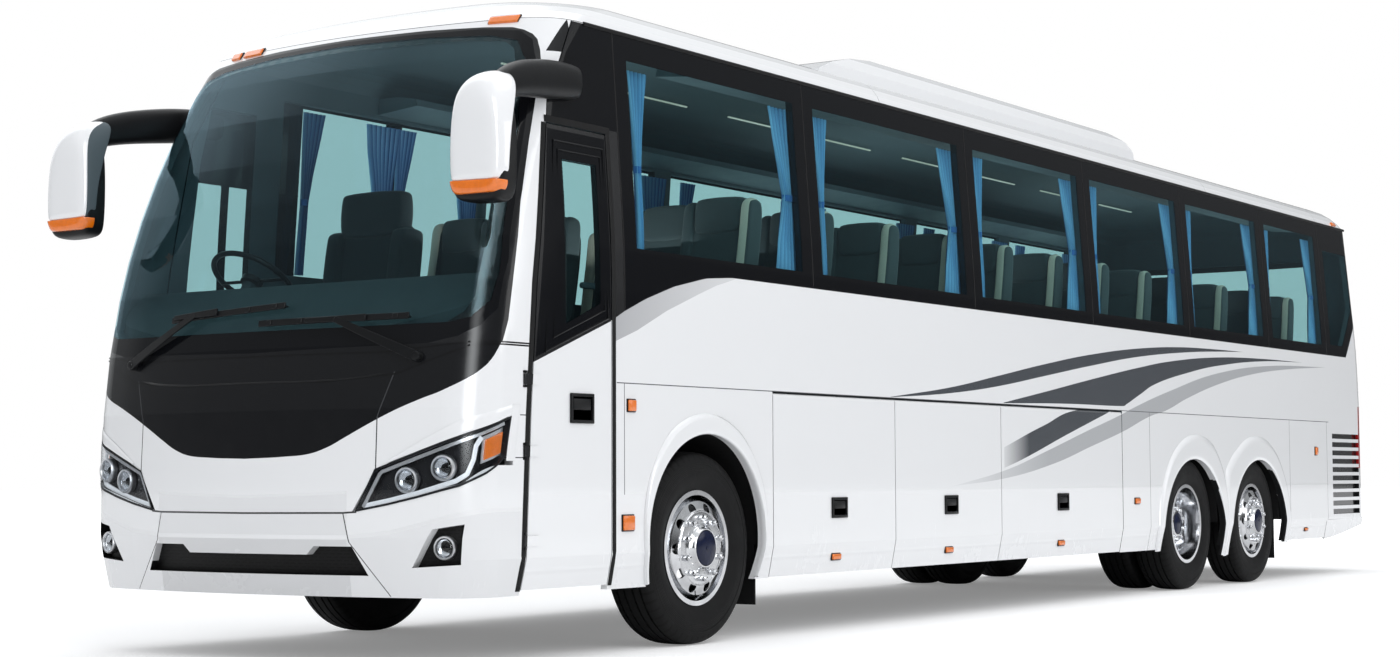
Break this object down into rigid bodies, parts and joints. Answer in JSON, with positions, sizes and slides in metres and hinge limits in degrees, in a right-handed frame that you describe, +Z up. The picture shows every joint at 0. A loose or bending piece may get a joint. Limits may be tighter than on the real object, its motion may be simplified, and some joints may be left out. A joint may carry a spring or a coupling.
{
  "type": "coach bus",
  "caption": "Three-axle touring coach with a front passenger door, luggage bay doors, bonded glazing, roof air unit and twin-tyred drive axle.",
  "frame": {"origin": "on the ground, at the middle of the length and width", "axes": "+Z up, nose towards -Y, left side towards +X"},
  "size_m": [3.02, 13.309, 3.558],
  "materials": {
    "body_paint": "white gloss paint",
    "tinted_glass": "tinted bonded glass",
    "lamp_glass": "clear lamp glass",
    "red_lens": "red lamp lens",
    "black_plastic": "satin black",
    "floor_grey": "floor covering",
    "seat_fabric": "dark woven cloth",
    "curtain_cloth": "blue curtain cloth",
    "trim_grey": "light cabin trim",
    "chassis_paint": "black chassis paint",
    "rubber_black": "black rubber",
    "tyre_rubber": "tyre rubber",
    "wheel_alloy": "polished forged alloy"
  },
  "bodies": {
    "coach": {"air_springs": "rubber_black", "chassis_frame": "chassis_paint", "curtains": "curtain_cloth", "dashboard": "black_plastic", "door_hinges": "chassis_paint", "drive_axle": "chassis_paint", "driver_seat": "seat_fabric", "engine_block": "chassis_paint", "floor_deck": "floor_grey", "front_axle": "chassis_paint", "front_bumper": "body_paint", "front_grille": "black_plastic", "front_lamps": "lamp_glass", "front_mask": "body_paint", "luggage_bay": "floor_grey", "mirror_arms": "black_plastic", "mirror_heads": "body_paint", "mudflaps": "rubber_black", "parcel_racks": "trim_grey", "passenger_seats": "seat_fabric", "roof_aircon": "body_paint", "roof_panel": "body_paint", "screen_surround": "body_paint", "side_glass_left": "tinted_glass", "side_glass_right": "tinted_glass", "side_wall_left": "body_paint", "side_wall_right": "body_paint", "skirt_left": "body_paint", "skirt_right": "body_paint", "tag_axle": "chassis_paint", "tail_glass": "tinted_glass", "tail_lamps": "red_lens", "tail_panel": "body_paint", "wheel_housings": "black_plastic", "windscreen": "tinted_glass", "wipers": "black_plastic"},
    "passenger_door": {"passenger_door": "body_paint", "door_glass": "tinted_glass"},
    "engine_lid": {"engine_lid": "body_paint"},
    "steering_wheel": {"steering_wheel": "black_plastic"},
    "knuckle_left": {"knuckle_left": "chassis_paint"},
    "knuckle_right": {"knuckle_right": "chassis_paint"},
    "front_wheel_left": {"front_rim_left": "wheel_alloy", "front_tyre_left": "tyre_rubber"},
    "drive_wheel_left": {"drive_rim_left": "wheel_alloy", "drive_tyres_left": "tyre_rubber"},
    "tag_wheel_left": {"tag_rim_left": "wheel_alloy", "tag_tyre_left": "tyre_rubber"},
    "luggage_door_left_1": {"luggage_door_left_1": "body_paint"},
    "luggage_door_left_2": {"luggage_door_left_2": "body_paint"},
    "luggage_door_left_3": {"luggage_door_left_3": "body_paint"},
    "front_wheel_right": {"front_rim_right": "wheel_alloy", "front_tyre_right": "tyre_rubber"},
    "drive_wheel_right": {"drive_rim_right": "wheel_alloy", "drive_tyres_right": "tyre_rubber"},
    "tag_wheel_right": {"tag_rim_right": "wheel_alloy", "tag_tyre_right": "tyre_rubber"},
    "luggage_door_right_1": {"luggage_door_right_1": "body_paint"},
    "luggage_door_right_2": {"luggage_door_right_2": "body_paint"},
    "luggage_door_right_3": {"luggage_door_right_3": "body_paint"}
  },
  "joints": [
    {"name": "steer_left", "type": "hinge", "parent": "coach", "child": "knuckle_left", "pos_m": [0.96, -4.55, 0.506], "axis": [0, 0, 1], "range_deg": [-40, 40]},
    {"name": "front_wheel_left_spin", "type": "hinge", "parent": "knuckle_left", "child": "front_wheel_left", "pos_m": [1.092, -4.55, 0.506], "axis": [1, 0, 0], "continuous": true},
    {"name": "drive_wheel_left_spin", "type": "hinge", "parent": "coach", "child": "drive_wheel_left", "pos_m": [1.092, 2.27, 0.506], "axis": [1, 0, 0], "continuous": true},
    {"name": "tag_wheel_left_spin", "type": "hinge", "parent": "coach", "child": "tag_wheel_left", "pos_m": [1.092, 3.69, 0.506], "axis": [1, 0, 0], "continuous": true},
    {"name": "luggage_door_left_1_hinge", "type": "hinge", "parent": "coach", "child": "luggage_door_left_1", "pos_m": [1.256, -3.195, 1.318], "axis": [0, -1, 0], "range_deg": [0, 85]},
    {"name": "luggage_door_left_2_hinge", "type": "hinge", "parent": "coach", "child": "luggage_door_left_2", "pos_m": [1.256, -1.785, 1.318], "axis": [0, -1, 0], "range_deg": [0, 85]},
    {"name": "luggage_door_left_3_hinge", "type": "hinge", "parent": "coach", "child": "luggage_door_left_3", "pos_m": [1.256, -0.085, 1.318], "axis": [0, -1, 0], "range_deg": [0, 85]},
    {"name": "steer_right", "type": "hinge", "parent": "coach", "child": "knuckle_right", "pos_m": [-0.96, -4.55, 0.506], "axis": [0, 0, 1], "range_deg": [-40, 40]},
    {"name": "front_wheel_right_spin", "type": "hinge", "parent": "knuckle_right", "child": "front_wheel_right", "pos_m": [-1.092, -4.55, 0.506], "axis": [1, 0, 0], "continuous": true},
    {"name": "drive_wheel_right_spin", "type": "hinge", "parent": "coach", "child": "drive_wheel_right", "pos_m": [-1.092, 2.27, 0.506], "axis": [1, 0, 0], "continuous": true},
    {"name": "tag_wheel_right_spin", "type": "hinge", "parent": "coach", "child": "tag_wheel_right", "pos_m": [-1.092, 3.69, 0.506], "axis": [1, 0, 0], "continuous": true},
    {"name": "luggage_door_right_1_hinge", "type": "hinge", "parent": "coach", "child": "luggage_door_right_1", "pos_m": [-1.256, -3.195, 1.318], "axis": [0, 1, 0], "range_deg": [0, 85]},
    {"name": "luggage_door_right_2_hinge", "type": "hinge", "parent": "coach", "child": "luggage_door_right_2", "pos_m": [-1.256, -1.785, 1.318], "axis": [0, 1, 0], "range_deg": [0, 85]},
    {"name": "luggage_door_right_3_hinge", "type": "hinge", "parent": "coach", "child": "luggage_door_right_3", "pos_m": [-1.256, -0.085, 1.318], "axis": [0, 1, 0], "range_deg": [0, 85]},
    {"name": "passenger_door_hinge", "type": "hinge", "parent": "coach", "child": "passenger_door", "pos_m": [1.277, -6.102, 0.58], "axis": [0, 0, -1], "range_deg": [0, 85]},
    {"name": "engine_lid_hinge", "type": "hinge", "parent": "coach", "child": "engine_lid", "pos_m": [-0.4, 6.653, 1.484], "axis": [1, 0, 0], "range_deg": [0, 80]},
    {"name": "steering_wheel_turn", "type": "hinge", "parent": "coach", "child": "steering_wheel", "pos_m": [-0.82, -5.765, 1.935], "axis": [0, 0.5736, 0.8192], "range_deg": [-720, 720]}
  ],
  "couplings": [
    {"joint": "steer_right", "follows": "steer_left", "ratio": 1},
    {"joint": "steering_wheel_turn", "follows": "steer_left", "ratio": 18}
  ]
}
